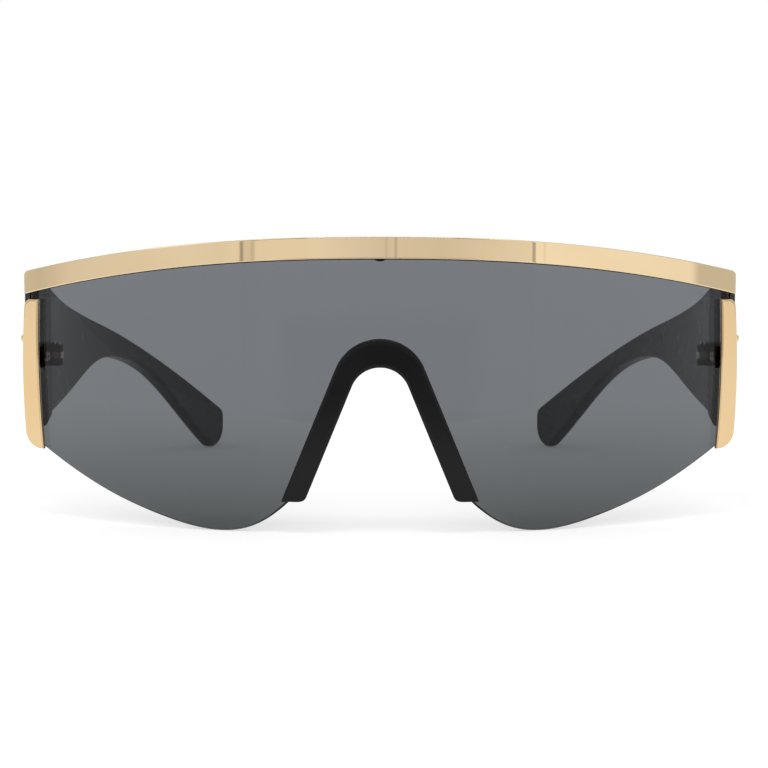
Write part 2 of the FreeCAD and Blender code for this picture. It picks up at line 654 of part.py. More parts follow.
def make_leaf(plate, roots, indices, rivet_depths):
    """A hinge leaf: its plate and knuckles, bored for the pin and for its rivets."""
    shape = box((LEAF_INNER, LEAF_OUTER), plate, (HINGE_BOTTOM, HINGE_TOP))
    for index in indices:
        shape = shape.fuse(knuckle(index, roots[0], roots[1]))
    shape = shape.cut(upright(PIN_RADIUS + PIN_CLEARANCE, 0, FAR))
    for depth in rivet_depths:
        shape = shape.cut(rivet_hole(depth))
    return shape.removeSplitter()


def rivet_rod(radius, depth, start, length):
    return Part.makeCylinder(radius, length, vector(start, depth, HINGE_MIDDLE), vector(1, 0, 0))


def rivet_hole(depth):
    return rivet_rod(RIVET_RADIUS + FIT_GAP, depth, LEAF_INNER, RIVET_LENGTH + FIT_GAP)


def make_rivet(depth):
    """A rivet with a rounded head on the inner side of its leaf."""
    head = rivet_rod(RIVET_HEAD_RADIUS, depth, LEAF_INNER - RIVET_HEAD_HEIGHT, RIVET_HEAD_HEIGHT)
    crown = [edge for edge in head.Edges if edge.BoundBox.XMax < LEAF_INNER - RIVET_HEAD_HEIGHT / 2]
    head = head.makeFillet(RIVET_HEAD_HEIGHT / 2, crown)
    return head.fuse(rivet_rod(RIVET_RADIUS, depth, LEAF_INNER, RIVET_LENGTH)).removeSplitter()


def front_rivets():
    middle = BUTT_DEPTH - LEAF_SETBACK - LEAF_LENGTH / 2
    return [middle - RIVET_PITCH / 2, middle + RIVET_PITCH / 2]


def temple_rivets():
    middle = BUTT_DEPTH + LEAF_SETBACK + LEAF_LENGTH / 2
    return [middle - RIVET_PITCH / 2, middle + RIVET_PITCH / 2]


def make_hinge_screw():
    """The slotted pin screw, its head on the top knuckle."""
    top = HINGE_TOP + PIN_HEAD_HEIGHT
    shape = upright(PIN_RADIUS, HINGE_BOTTOM, HINGE_TOP).fuse(upright(PIN_HEAD_RADIUS, HINGE_TOP, top))
    slot = box((HINGE_X - SLOT_WIDTH / 2, HINGE_X + SLOT_WIDTH / 2),
               (BUTT_DEPTH - PIN_HEAD_RADIUS, BUTT_DEPTH + PIN_HEAD_RADIUS), (top - SLOT_DEPTH, top))
    return shape.cut(slot).removeSplitter()


def both_sides(shape):
    """The right-hand shape and its mirror image."""
    return {"right": shape, "left": shape.mirror(vector(0, 0, 0), vector(1, 0, 0))}


def side_pieces():
    """The pieces of the right-hand side, by name."""
    front_plate = (BUTT_DEPTH - LEAF_SETBACK - LEAF_LENGTH, BUTT_DEPTH - LEAF_SETBACK)
    root_reach = LEAF_SETBACK + LEAF_THICKNESS / 2
    front_root = (BUTT_DEPTH - root_reach, BUTT_DEPTH)
    temple_plate = (BUTT_DEPTH + LEAF_SETBACK, BUTT_DEPTH + LEAF_SETBACK + LEAF_LENGTH)
    temple_root = (TEMPLE_START, BUTT_DEPTH + root_reach)
    trim_screws = [screw(x, z, trim_screw_seat()) for x, z in trim_fixings()]
    return {
        "side_trim": make_trim(),
        "trim_screws": Part.makeCompound(trim_screws),
        "hinge_front_leaf": make_leaf(front_plate, front_root, (0, 2), front_rivets()),
        "front_leaf_rivets": Part.makeCompound([make_rivet(depth) for depth in front_rivets()]),
        "hinge_screw": make_hinge_screw(),
        "temple": make_temple(),
        "hinge_temple_leaf": make_leaf(temple_plate, temple_root, (1,), temple_rivets()),
        "temple_leaf_rivets": Part.makeCompound([make_rivet(depth) for depth in temple_rivets()]),
        "temple_core": core_shape(0),
        "temple_stud": make_stud(),
    }


def main():
    pieces = {
        "brow_bar": make_bar(),
        "front_frame": make_frame(),
        "shield_lens": make_lens(),
        "nose_bridge": make_nose_bridge(),
        "lens_screws": Part.makeCompound([screw(x, z, bar_screw_seat(x)) for x, z in bar_fixings()]),
    }
    for name, shape in side_pieces().items():
        for hand, half in both_sides(shape).items():
            pieces[name + "_" + hand] = half
    os.makedirs("parts", exist_ok=True)
    for name, shape in pieces.items():
        shape.translate(vector(0, -ORIGIN_DEPTH, 0))
        shape.exportStep("parts/" + name + ".step")
        print(name, len(shape.Solids), "solids", round(shape.Volume, 2), "mm3", shape.isValid())


main()
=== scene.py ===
import math

import bmesh
import bpy
import numpy as np
from bpy.props import FloatProperty, FloatVectorProperty, PointerProperty
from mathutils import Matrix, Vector


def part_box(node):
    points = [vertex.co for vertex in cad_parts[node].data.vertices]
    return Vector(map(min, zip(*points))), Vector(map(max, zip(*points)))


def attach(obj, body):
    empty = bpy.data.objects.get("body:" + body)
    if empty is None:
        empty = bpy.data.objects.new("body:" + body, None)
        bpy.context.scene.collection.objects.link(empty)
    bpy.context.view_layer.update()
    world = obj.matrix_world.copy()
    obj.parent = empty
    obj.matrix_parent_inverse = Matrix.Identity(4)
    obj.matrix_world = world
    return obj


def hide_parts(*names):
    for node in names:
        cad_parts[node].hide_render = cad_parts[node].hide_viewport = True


bl_info = {
    "name": "Shield sunglasses",
    "version": (1, 0, 0),
    "blender": (4, 5, 0),
    "location": "View3D > Sidebar > Sunglasses",
    "description": "Dresses the shield sunglasses in gold, tinted lens and black plastic",
    "category": "Add Mesh",
}

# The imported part. Its lens gives the depth that the front pieces are counted from.
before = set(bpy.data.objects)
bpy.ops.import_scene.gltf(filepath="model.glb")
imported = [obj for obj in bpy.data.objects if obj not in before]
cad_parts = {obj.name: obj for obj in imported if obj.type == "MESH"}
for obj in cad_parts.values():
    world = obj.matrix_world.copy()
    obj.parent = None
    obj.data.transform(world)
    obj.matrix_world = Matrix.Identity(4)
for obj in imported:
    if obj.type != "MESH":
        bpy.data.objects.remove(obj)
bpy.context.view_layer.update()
MM = 0.001
LENS_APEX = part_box("shield_lens")[0].y
HANDS = {"left": -1.0, "right": 1.0}

# How finely the meshes are stepped
EDGE_STEPS = 6
FLAT_MARGIN = 0.02  # share of a face from a round to the first step past it
BAR_COLUMNS, BAR_ROWS, BAR_CORNER_STEPS = 220, 8, 14
LENS_SIDE_COLUMNS, LENS_NOSE_COLUMNS, LENS_ROWS = 130, 60, 16
TRIM_ROWS, TRIM_COLUMNS = 60, 8
TRIM_BOTTOM_STEPS, TRIM_TOP_STEPS, TRIM_INNER_STEPS = 16, 12, 12
BRIDGE_LEG_STEPS, BRIDGE_ARCH_STEPS, BRIDGE_FOOT_STEPS = 40, 50, 12
BRIDGE_ROUND_STEPS, BRIDGE_FLAT_STEPS = 7, 8
SHARP_ANGLE = math.radians(40.0)  # a sharper fold shows as an edge
WELD = 1e-7
LEAST_SQUARE = 1e-16  # keeps a stretch without length from dividing by zero

# Points of a lobe's lower edge from the nose cut outwards, in millimetres, and the slopes at its two ends
LOBE_X = (16.8, 23.6, 31.2, 43.2, 55.8)
LOBE_HEIGHTS = (6.95, 1.7, 0.0, 2.25, 7.1)
LOBE_SLOPES = (-1.0, 0.65)

# What gloss sees of the room, with turns in degrees from the front and heights from -1 to 1
PANEL_REACH = 90.0
PANELS = ((-90, 0.75), (-84, 0.70), (-75, 0.86), (-45, 0.93), (-36, 0.90), (-31.9, 0.98), (-31.1, 0.82),
          (-28.5, 0.82), (-27.8, 0.95), (-14, 0.96), (1, 0.80), (4, 0.84), (14, 0.80), (33.6, 0.96),
          (34.9, 1.12), (75, 1.06), (77.5, 0.71), (90, 0.72))  # turn and tone
GAPS = ((-31.0, 0.25, 0.42), (-28.4, 0.3, 0.16), (1.4, 0.1, 0.12), (3.5, 0.1, 0.26), (34.6, 0.25, 0.48),
        (37.1, 0.15, 0.1))  # turn, reach and darkness
GAP_RIM = 0.3
PATCHES = (((0.0, 20.0), (-0.16, 0.1), 0.75),
           ((-2.0, 26.0), (0.6, 0.5), 0.8))  # turn and its reach, height and its reach, darkness
PATCH_TURN_RIM, PATCH_HEIGHT_RIM = 4.0, 0.01

# Lamps, floor and camera, in metres and watts
LAMPS = {
    "soft_box_top": {"place": (0.0, -0.2, 0.6), "aim": (0.0, -0.05, 0.0), "size": (0.5, 0.12),
                     "power": 0.6, "gloss": 0.0},
    "soft_box_left": {"place": (-0.7, -0.5, 0.55), "aim": (0.0, 0.0, 0.03), "size": (0.3, 0.3),
                      "power": 0.4, "gloss": 1.0},
    "soft_box_front": {"place": (0.0, -0.8, 0.42), "aim": (0.0, -0.07, 0.03), "size": (0.5, 0.12),
                       "power": 0.7, "gloss": 0.0},
}
FLOOR_X = (-1.05, 1.05, 13)  # from, to and number of points
FLOOR_Y = (-0.27, 6.0, 15)
FLOOR_SINK = 0.00005  # keeps the floor just under the glasses
SENSOR_WIDTH = 36.0
CLIP_START, CLIP_END = 0.01, 50.0


def length(name, description, millimetres):
    return FloatProperty(name=name, description=description, default=millimetres * MM, unit="LENGTH",
                         precision=5)


def number(name, description, value):
    return FloatProperty(name=name, description=description, default=value, precision=4)


def colour(name, description, value):
    return FloatVectorProperty(name=name, description=description, default=value, size=3, min=0.0, max=1.0,
                               subtype="COLOR")


class LensSizes(bpy.types.PropertyGroup):
    """Sizes of the shield lens."""
    radius: length("Front radius", "Radius of the lens front about its upright axis", 112.0)
    thickness: length("Thickness", "Thickness of the lens", 2.0)
    half_width: length("Half width", "From the middle to a lens end", 71.7)
    below_bar: length("Below bar top", "How far the lens stays below the top of the bar", 0.7)
    end_height: length("End height", "Height of the lower corner at a lens end", 16.3)
    edge: length("Edge", "Radius of the polished edge", 0.3)
    cut_radius: length("Nose cut radius", "Radius of the arch of the nose cut", 7.8)
    cut_top: length("Nose cut top", "Height of the top of the nose cut", 36.45)


class BarSizes(bpy.types.PropertyGroup):
    """Sizes of the brow bar."""
    top: length("Top", "Height of the top edge at the middle", 57.6)
    height: length("Height", "Height of the bar at the middle", 4.2)
    thickness: length("Thickness", "Thickness of the bar", 1.55)
    half_length: length("Half length", "From the middle to an end of the bar", 72.65)
    top_drop: length("Top drop", "Fall of the top edge from the middle to an end", 7.5)
    bottom_drop: length("Bottom drop", "Fall of the bottom edge from the middle to an end", 7.9)
    arch_power: number("Arch power", "Power of the two arched edges", 2.33)
    corner: length("Corner", "Radius of the upper corners", 1.2)
    edge: length("Edge", "Radius of the front edges", 0.16)
    seat: length("Seat", "Gap between the bar and the lens", 0.05)


class TrimSizes(bpy.types.PropertyGroup):
    """Sizes of the side trims."""
    thickness: length("Thickness", "Thickness of a trim", 1.35)
    top: length("Top", "Height of the upper end", 44.5)
    waist: length("Waist", "Height where the trim is widest", 33.0)
    bottom: length("Bottom", "Height of the lower end", 14.0)
    inner_top: length("Inner top", "Inner edge at the top, from the middle", 69.3)
    inner_waist: length("Inner waist", "Inner edge at the waist, from the middle", 69.5)
    inner_bottom: length("Inner bottom", "Inner edge at the bottom, from the middle", 68.5)
    outer_top: length("Outer top", "Outer edge at the top, from the middle", 72.65)
    outer_waist: length("Outer waist", "Outer edge at the waist, from the middle", 73.3)
    outer_bottom: length("Outer bottom", "Outer edge at the bottom, from the middle", 72.5)
    top_corner: length("Top corner", "Radius of the upper outer corner", 1.4)
    bottom_corner: length("Bottom corner", "Radius of the lower outer corner", 3.2)
    edge: length("Edge", "Radius of the front edges", 0.3)
    inner_edge: length("Inner edge", "Radius of the round along the inner edge", 0.8)


class BridgeSizes(bpy.types.PropertyGroup):
    """Sizes of the nose bridge."""
    outer_radius: length("Outer radius", "Radius of the outer arch", 9.3)
    outer_top: length("Outer top", "Height of the top of the outer arch", 37.95)
    inner_radius: length("Inner radius", "Radius of the inner arch", 5.85)
    inner_top: length("Inner top", "Height of the top of the inner arch", 32.4)
    leg_angle: FloatProperty(name="Leg angle", description="Spread of a leg from upright",
                             default=math.radians(22.3), subtype="ANGLE")
    foot: length("Foot", "Height of the feet", 6.2)
    foot_round: length("Foot round", "Radius of the inner corner of a foot", 1.6)
    proud: length("Proud", "How far the front lip stands on the lens", 1.2)
    groove: length("Groove", "How deep the lens sits in the bridge", 1.55)
    reach: length("Reach", "How far the saddle reaches behind the lens", 7.5)
    back_step: length("Back step", "How much narrower the saddle is than the lip", 0.8)
    lip_edge: length("Lip edge", "Radius of the front edges of the lip", 0.45)
    back_edge: length("Back edge", "Radius of the back edges of the saddle", 0.8)


class Finishes(bpy.types.PropertyGroup):
    """Colours and gloss of the finishes."""
    gold: colour("Gold", "Polished plate of the brow bar", (0.80, 0.63, 0.395))
    gold_warm: colour("Warm gold", "Warmer patches of the gold plate", (0.79, 0.605, 0.37))
    trim_gold: colour("Trim gold", "Deeper gold of the side trims and studs", (0.77, 0.57, 0.32))
    trim_gold_warm: colour("Warm trim gold", "Warmer patches of that gold", (0.76, 0.545, 0.295))
    gold_roughness: number("Gold roughness", "Roughness of the gold plate", 0.016)
    lens_top: colour("Lens top", "Tint of the lens at the bar", (0.183, 0.193, 0.212))
    lens_middle: colour("Lens middle", "Tint of the lens at half height", (0.163, 0.173, 0.184))
    # The lower tints are darkened partly as painted shade of the shadowed floor behind the lens.
    lens_bottom_tint_and_shade: colour("Lens bottom", "Tint of the lens at its lower edge", (0.094, 0.103, 0.105))
    lens_glare: number("Lens glare", "Share of its full reflection that the lens keeps", 0.25)
    black: colour("Black", "Black plastic of the frame and temples", (0.012, 0.012, 0.013))
    black_roughness: number("Black roughness", "Roughness of the black plastic", 0.28)
    black_gloss: number("Black gloss", "Strength of the reflection in the black plastic", 0.35)
    rubber: colour("Bridge black", "Softer black of the nose bridge", (0.004, 0.004, 0.005))
    rubber_roughness: number("Bridge roughness", "Roughness of the nose bridge", 0.18)
    rubber_gloss: number("Bridge gloss", "Strength of the reflection in the nose bridge", 0.2)
    steel: colour("Steel", "Plated metal of hinges and screws", (0.62, 0.57, 0.49))
    # The front hinge leaves get a steel near black, far darker than the temple leaves and screws.
    dark_steel: colour("Dark steel", "Blackened steel of the front hinge leaves", (0.055, 0.053, 0.050))
    steel_roughness: number("Steel roughness", "Roughness of hinges and screws", 0.24)


class Studio(bpy.types.PropertyGroup):
    """Camera, floor and light."""
    distance: length("Camera distance", "From the camera to the middle of the lens front", 400.0)
    height: length("Camera height", "Height of the camera over the floor", 64.3)
    pitch: FloatProperty(name="Pitch", description="How far the camera looks down",
                         default=math.radians(5.014), subtype="ANGLE")
    focal: FloatProperty(name="Focal length", description="Focal length of the camera", default=97.5,
                         subtype="DISTANCE_CAMERA")
    shift: number("Shift", "Sideways shift, as a share of the picture", 4.0 / 768.0)
    ambient: number("Ambient", "Strength of the even light from all sides", 0.82)
    floor: colour("Floor", "Colour of the floor", (0.55, 0.55, 0.55))


class Sunglasses(bpy.types.PropertyGroup):
    """All settings of the sunglasses."""
    lens: PointerProperty(type=LensSizes)
    bar: PointerProperty(type=BarSizes)
    trim: PointerProperty(type=TrimSizes)
    bridge: PointerProperty(type=BridgeSizes)
    finish: PointerProperty(type=Finishes)
    studio: PointerProperty(type=Studio)


# Curves and surfaces

def drum_depth(x, radius, lens_radius):
    """Depth of an upright drum about the lens's axis: the axis's depth minus root(radius² - x²)."""
    return LENS_APEX + lens_radius - np.sqrt(radius ** 2 - x ** 2)


def arch(x, crown, drop, half, power):
    """Height of an arched edge: the crown minus the drop times (|x| / half) to a power."""
    return crown - drop * (np.abs(x) / half) ** power


def quarter_steps(radius, count):
    """Distances from an edge at equal turns of a quarter round: radius times (1 - cos turn)."""
    return radius * (1.0 - np.cos(np.linspace(0.0, np.pi / 2, count)))


def even_steps(count):
    """Even shares between two rounds, with one more close to each, to keep the face flat up to them."""
    return np.concatenate([[FLAT_MARGIN], np.linspace(0.0, 1.0, count)[1:-1], [1.0 - FLAT_MARGIN]])


def spread(low, high, edge, count):
    """Places from a low to a high edge: quarter-round steps in from both, and even steps between."""
    steps = quarter_steps(edge, EDGE_STEPS)
    low, high = low[:, None], high[:, None]
    middle = low + edge + (high - low - 2 * edge) * even_steps(count)
    return np.concatenate([low + steps, middle, high - steps[::-1]], axis=1)


def spline_heights(x, knots, heights, first_slope, last_slope):
    """Cubic spline through the knots. The end slopes are given, and the slopes between make the second
    derivative continuous."""
    step = np.diff(knots)
    rise = np.diff(heights) / step
    count = len(knots)
    system = np.eye(count)
    wanted = np.zeros(count)
    wanted[0], wanted[-1] = first_slope, last_slope
    inside = np.arange(1, count - 1)
    system[inside, inside - 1] = step[1:]
    system[inside, inside] = 2 * (step[1:] + step[:-1])
    system[inside, inside + 1] = step[:-1]
    wanted[1:-1] = 3 * (rise[:-1] * step[1:] + rise[1:] * step[:-1])
    slope = np.linalg.solve(system, wanted)
    span = np.clip(np.searchsorted(knots, x) - 1, 0, count - 2)
    width = step[span]
    t = (x - knots[span]) / width
    return (heights[span] * (1 + 2 * t) * (1 - t) ** 2 + heights[span + 1] * t ** 2 * (3 - 2 * t)
            + width * slope[span] * t * (1 - t) ** 2 - width * slope[span + 1] * t ** 2 * (1 - t))


def three_point_arc(z, heights, places):
    """Place of an arc through three points at each height: the centre is equally far from all three, and the
    place is the centre's plus or minus root(radius² - (height - centre's height)²)."""
    (z0, z1, z2), (x0, x1, x2) = heights, places
    matrix = np.array([[x0 - x1, z0 - z1], [x1 - x2, z1 - z2]]) * 2
    sums = np.array([x0 ** 2 - x1 ** 2 + z0 ** 2 - z1 ** 2, x1 ** 2 - x2 ** 2 + z1 ** 2 - z2 ** 2])
    centre_x, centre_z = np.linalg.solve(matrix, sums)
    radius = math.hypot(x0 - centre_x, z0 - centre_z)
    return centre_x + math.copysign(1.0, x1 - centre_x) * np.sqrt(radius ** 2 - (z - centre_z) ** 2)


def line_distance(points, line):
    """Least distance from each point to a line of points: the foot on each stretch, held between its ends."""
    start, along = line[:-1], np.diff(line, axis=0)
    offset = points[:, None, :] - start[None]
    share = np.clip((offset * along).sum(-1) / np.maximum((along ** 2).sum(-1), LEAST_SQUARE), 0.0, 1.0)
    return np.linalg.norm(offset - share[..., None] * along, axis=-1).min(axis=1)


def round_off(distance, radius):
    """How far a quarter round lies below its face: radius - root(radius² - (radius - distance)²)."""
    short = np.clip(radius - distance, 0.0, radius)
    return radius - np.sqrt(radius ** 2 - short ** 2)


def grid_faces(rows, columns, wrap=False):
    """Quads between neighbouring rows and columns of a grid, which may close round its columns."""
    index = np.arange(rows * columns).reshape(rows, columns)
    if wrap:
        index = np.concatenate([index, index[:, :1]], axis=1)
    return np.stack([index[:-1, :-1], index[:-1, 1:], index[1:, 1:], index[1:, :-1]], axis=-1).reshape(-1, 4)


def border(rows, columns):
    """Indices round the rim of a grid, in order."""
    index = np.arange(rows * columns).reshape(rows, columns)
    return np.concatenate([index[:-1, 0], index[-1, :-1], index[:0:-1, -1], index[0, :0:-1]])


def rim_distance(across, upright):
    """Least distance of each grid point from the rim of the grid, in the front view."""
    points = np.stack([across, upright], axis=-1).reshape(-1, 2)
    rim = points[border(*across.shape)]
    return line_distance(points, np.concatenate([rim, rim[:1]])).reshape(across.shape)


def on_drum(across, upright, radius, lens_radius, side=1.0):
    """Points of a front view set back onto a drum, on one side or mirrored to the other."""
    return np.stack([side * across, drum_depth(across, radius, lens_radius), upright], axis=-1)


def plate(front, back):
    """A closed plate: a front grid, a back grid and a wall between their rims."""
    rows, columns = front.shape[:2]
    count = rows * columns
    faces = grid_faces(rows, columns)
    rim = border(rows, columns)
    after = np.roll(rim, -1)
    wall = np.stack([rim, after, after + count, rim + count], axis=-1)
    points = np.concatenate([front.reshape(-1, 3), back.reshape(-1, 3)])
    return points, np.concatenate([faces, faces[:, ::-1] + count, wall]).tolist()


def add_piece(name, points, faces, material, body, nodes):
    """Makes a piece of points and faces, closes its seams, turns it outwards and rides it on a body."""
    mesh = bpy.data.meshes.new(name)
    mesh.from_pydata(points.tolist(), [], faces)
    work = bmesh.new()
    work.from_mesh(mesh)
    bmesh.ops.remove_doubles(work, verts=work.verts, dist=WELD)
    bmesh.ops.recalc_face_normals(work, faces=work.faces)
    work.to_mesh(mesh)
    work.free()
    mesh.shade_smooth()
    mesh.set_sharp_from_angle(angle=SHARP_ANGLE)
    mesh.materials.append(material)
    piece = bpy.data.objects.new(name, mesh)
    bpy.context.scene.collection.objects.link(piece)
    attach(piece, body)
    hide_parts(*nodes)


# Finishes

def new_material(name):
    """The material of a name, and its node tree and shader when it is new."""
    material = bpy.data.materials.get(name)
    if material is not None:
        return material, None, None
    material = bpy.data.materials.new(name)
    material.use_nodes = True
    return material, material.node_tree, material.node_tree.nodes["Principled BSDF"]


def noise(tree, scale, stretch=(1.0, 1.0, 1.0), detail=3.0):
    """Noise on the object's own coordinates, stretched along its axes."""
    place = tree.nodes.new("ShaderNodeTexCoord")
    mapping = tree.nodes.new("ShaderNodeMapping")
    mapping.inputs["Scale"].default_value = stretch
    texture = tree.nodes.new("ShaderNodeTexNoise")
    texture.inputs["Scale"].default_value = scale
    texture.inputs["Detail"].default_value = detail
    tree.links.new(place.outputs["Object"], mapping.inputs["Vector"])
    tree.links.new(mapping.outputs["Vector"], texture.inputs["Vector"])
    return texture.outputs["Fac"]


def ramp(tree, value, stops):
    """Colours at places along a value."""
    node = tree.nodes.new("ShaderNodeValToRGB")
    elements = node.color_ramp.elements
    for element, (place, tone) in zip((elements[0], elements[-1]), (stops[0], stops[-1])):
        element.position = place
        element.color = (*tone, 1.0)
    for place, tone in stops[1:-1]:
        elements.new(place).color = (*tone, 1.0)
    tree.links.new(value, node.inputs["Fac"])
    return node.outputs["Color"]


def map_range(tree, value, source, target=(0.0, 1.0)):
    """A value carried from one span to another and held at its ends."""
    node = tree.nodes.new("ShaderNodeMapRange")
    for name, limit in zip(("From Min", "From Max", "To Min", "To Max"), (*source, *target)):
        node.inputs[name].default_value = limit
    tree.links.new(value, node.inputs["Value"])
    return node.outputs["Result"]


def vary(tree, value, middle, swing):
    """A number that follows a value from 0 to 1, by a swing to both sides of a middle."""
    return map_range(tree, value, (0.0, 1.0), (middle - swing, middle + swing))


def calculate(tree, operation, first, second=0.0):
    """The result of a sum on one or two values, each a socket or a number."""
    node = tree.nodes.new("ShaderNodeMath")
    node.operation = operation
    for socket, value in zip(node.inputs, (first, second)):
        if isinstance(value, float):
            socket.default_value = value
        else:
            tree.links.new(value, socket)
    return node.outputs[0]


def near(tree, value, middle, reach, soft):
    """1 where a value is within reach of a middle, falling to 0 over a soft rim."""
    away = calculate(tree, "ABSOLUTE", calculate(tree, "SUBTRACT", value, middle))
    return map_range(tree, away, (reach, reach + soft), (1.0, 0.0))


def bump(tree, shader, value, strength, distance):
    """Fine relief from a value."""
    node = tree.nodes.new("ShaderNodeBump")
    node.inputs["Strength"].default_value = strength
    node.inputs["Distance"].default_value = distance
    tree.links.new(value, node.inputs["Height"])
    tree.links.new(node.outputs["Normal"], shader.inputs["Normal"])


def shade(tone, share):
    """A darker shade of a tone."""
    return [share * part for part in tone]


def gold_plate(name, tone, warm_tone, roughness):
    """Polished gold plate, with warmer patches and a faint grain along the bar."""
    material, tree, shader = new_material(name)
    if shader is None:
        return material
    patches = ramp(tree, noise(tree, scale=60.0), [(0.35, tone), (0.65, warm_tone)])
    tree.links.new(patches, shader.inputs["Base Color"])
    shader.inputs["Metallic"].default_value = 1.0
    grain = noise(tree, scale=90.0, stretch=(1.0, 1.0, 22.0), detail=4.0)
    tree.links.new(vary(tree, grain, roughness, swing=0.006), shader.inputs["Roughness"])
    bump(tree, shader, grain, strength=0.003, distance=0.0002)
    return material


def lens_tint_and_shade(finish, low, high):
    """Grey see-through lens, a little darker towards its lower edge. The darkening is partly the lens's own
    tint and partly painted shade of the shadowed floor seen through the lens.
    """
    material, tree, shader = new_material("lens_tint_and_shade")
    if shader is None:
        return material
    place = tree.nodes.new("ShaderNodeTexCoord")
    split = tree.nodes.new("ShaderNodeSeparateXYZ")
    tree.links.new(place.outputs["Object"], split.inputs["Vector"])
    rise = map_range(tree, split.outputs["Z"], (low, high))
    # Painted shade in part: these stops darken the lens towards its lower edge.
    tone = ramp(tree, rise, [(0.0, finish.lens_bottom_tint_and_shade), (0.42, finish.lens_middle), (1.0, finish.lens_top)])
    tree.links.new(tone, shader.inputs["Base Color"])
    shader.inputs["Transmission Weight"].default_value = 1.0
    shader.inputs["Roughness"].default_value = 0.0
    shader.inputs["IOR"].default_value = 1.5
    shader.inputs["Specular Tint"].default_value = (*[finish.lens_glare] * 3, 1.0)
    return material


def black_plastic(name, tone, roughness, gloss):
    """Moulded black plastic: slight tone and gloss changes over a fine moulded skin."""
    material, tree, shader = new_material(name)
    if shader is None:
        return material
    patches = noise(tree, scale=120.0)
    tones = ramp(tree, patches, [(0.3, shade(tone, 0.75)), (0.7, tone)])
    tree.links.new(tones, shader.inputs["Base Color"])
    tree.links.new(vary(tree, patches, roughness, swing=0.05), shader.inputs["Roughness"])
    shader.inputs["Specular IOR Level"].default_value = gloss
    bump(tree, shader, noise(tree, scale=2200.0, detail=2.0), strength=0.03, distance=0.00003)
    return material


def plated_steel(name, tone, roughness):
    """Plated steel of the hinges and screws, with fine turning marks."""
    material, tree, shader = new_material(name)
    if shader is None:
        return material
    marks = noise(tree, scale=700.0, stretch=(1.0, 1.0, 6.0))
    tones = ramp(tree, marks, [(0.3, shade(tone, 0.8)), (0.7, tone)])
    tree.links.new(tones, shader.inputs["Base Color"])
    shader.inputs["Metallic"].default_value = 1.0
    tree.links.new(vary(tree, marks, roughness, swing=0.06), shader.inputs["Roughness"])
    bump(tree, shader, marks, strength=0.04, distance=0.00005)
    return material


def dress(nodes, material):
    """Gives CAD nodes a finish."""
    for name in nodes:
        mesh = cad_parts[name].data
        mesh.materials.clear()
        mesh.materials.append(material)


def pairs(*names):
    """The names of pieces that come once on each side."""
    return [name + "_" + hand for name in names for hand in HANDS]


# Operators

class SUNGLASSES_OT_brow_bar(bpy.types.Operator):
    """Make the arched gold bar."""
    bl_idname = "sunglasses.brow_bar"
    bl_label = "Brow bar"

    def execute(self, context):
        """Columns run from end to end between the arched edges, with the upper corners rounded; the front
        face lies on a drum and drops in a quarter round towards its rim."""
        settings = context.scene.sunglasses
        bar, lens, finish = settings.bar, settings.lens, settings.finish
        half, corner = bar.half_length, bar.corner
        knee = half - corner
        end = knee + corner * np.sin(np.linspace(0.0, np.pi / 2, BAR_CORNER_STEPS))
        x = np.concatenate([-end[::-1], np.linspace(-knee, knee, BAR_COLUMNS)[1:-1], end])
        top = arch(x, bar.top, bar.top_drop, half, bar.arch_power)
        bottom = arch(x, bar.top - bar.height, bar.bottom_drop, half, bar.arch_power)
        slope = bar.top_drop * bar.arch_power / half * (knee / half) ** (bar.arch_power - 1)
        knee_top = arch(knee, bar.top, bar.top_drop, half, bar.arch_power)
        centre = knee_top - corner * math.sqrt(1 + slope ** 2)
        past = np.clip(np.abs(x) - knee, 0.0, corner)
        rounded = centre + np.sqrt(corner ** 2 - past ** 2)
        tangent = corner * math.sin(math.atan(slope))
        top = np.where(past > tangent, np.minimum(rounded, top), top)
        z = spread(bottom, top, bar.edge, BAR_ROWS)
        across = np.broadcast_to(x[:, None], z.shape)
        back = lens.radius + bar.seat
        face = back + bar.thickness - round_off(rim_distance(across, z), bar.edge)
        points, faces = plate(on_drum(across, z, face, lens.radius), on_drum(across, z, back, lens.radius))
        gold = gold_plate("bar_gold", finish.gold, finish.gold_warm, finish.gold_roughness)
        add_piece("brow_bar_gold", points, faces, gold, "front", ["brow_bar"])
        return {"FINISHED"}


class SUNGLASSES_OT_lens(bpy.types.Operator):
    """Make the one-piece tinted lens."""
    bl_idname = "sunglasses.lens"
    bl_label = "Shield lens"

    def execute(self, context):
        """Columns run from the lower edge, a spline over the lobes and the arch and legs of the nose cut, to
        an edge parallel to the bar; both faces lie on drums and round off to a polished rim."""
        settings = context.scene.sunglasses
        lens, bar, lean = settings.lens, settings.bar, settings.bridge.leg_angle
        knots = np.append(np.array(LOBE_X) * MM, lens.half_width)
        heights = np.append(np.array(LOBE_HEIGHTS) * MM, lens.end_height)
        wide = np.linspace(knots[0], knots[-1], LENS_SIDE_COLUMNS)
        close = np.linspace(0.0, knots[0], LENS_NOSE_COLUMNS)[:-1]
        x = np.concatenate([close, wide])
        x = np.concatenate([-x[:0:-1], x])
        reach = np.abs(x)
        lobes = spline_heights(np.maximum(reach, knots[0]), knots, heights, *LOBE_SLOPES)
        centre = lens.cut_top - lens.cut_radius
        knee = lens.cut_radius * math.cos(lean)
        cap = centre + np.sqrt(np.maximum(lens.cut_radius ** 2 - np.minimum(reach, knee) ** 2, 0.0))
        leg = centre - (reach - lens.cut_radius / math.cos(lean)) / math.tan(lean)
        cut = np.where(reach < knee, cap, leg)
        low = np.where(reach < knots[0], cut, np.maximum(lobes, leg))
        high = arch(x, bar.top - lens.below_bar, bar.top_drop, bar.half_length, bar.arch_power)
        z = spread(low, high, lens.edge, LENS_ROWS)
        across = np.broadcast_to(x[:, None], z.shape)
        drop = round_off(rim_distance(across, z), lens.edge)
        front = on_drum(across, z, lens.radius - drop, lens.radius)
        rear = on_drum(across, z, lens.radius - lens.thickness + drop, lens.radius)
        points, faces = plate(front, rear)
        tint = lens_tint_and_shade(settings.finish, 0.0, bar.top)
        add_piece("shield_lens_grey", points, faces, tint, "front", ["shield_lens"])
        return {"FINISHED"}


